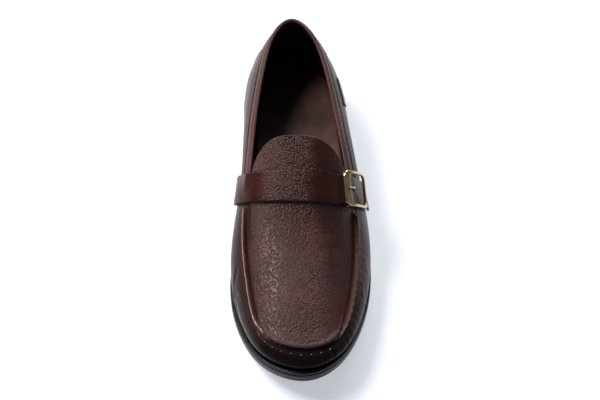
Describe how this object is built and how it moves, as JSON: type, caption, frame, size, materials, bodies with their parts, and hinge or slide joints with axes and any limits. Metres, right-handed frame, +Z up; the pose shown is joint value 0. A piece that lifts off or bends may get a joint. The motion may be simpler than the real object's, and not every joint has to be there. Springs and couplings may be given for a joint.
{
  "type": "buckle loafer",
  "caption": "Man's left slip-on leather shoe with a moccasin toe seam, a standing tongue, an instep strap with a brass buckle and a low-heeled moulded rubber sole.",
  "frame": {"origin": "on the floor, under the middle of the shoe's bounding box", "axes": "+Z up; the toe points to -Y and the heel to +Y; +X is the outer (lateral) side of this left shoe, where the buckle is"},
  "size_m": [0.1026, 0.3, 0.0955],
  "materials": {
    "rubber": "moulded black rubber, semi-gloss",
    "lining": "smooth dark brown lining leather, dull",
    "leather": "dark reddish brown pebbled leather, waxed semi-gloss",
    "tab": "tan leather with a burnished edge",
    "brass": "brushed aged brass with polished edges"
  },
  "bodies": {
    "root": {"outsole": "rubber", "insole": "lining", "upper": "leather", "tongue": "leather", "strap": "leather", "counter": "leather", "side_tab": "tab", "buckle_frame": "brass", "buckle_prong": "brass"}
  },
  "joints": []
}
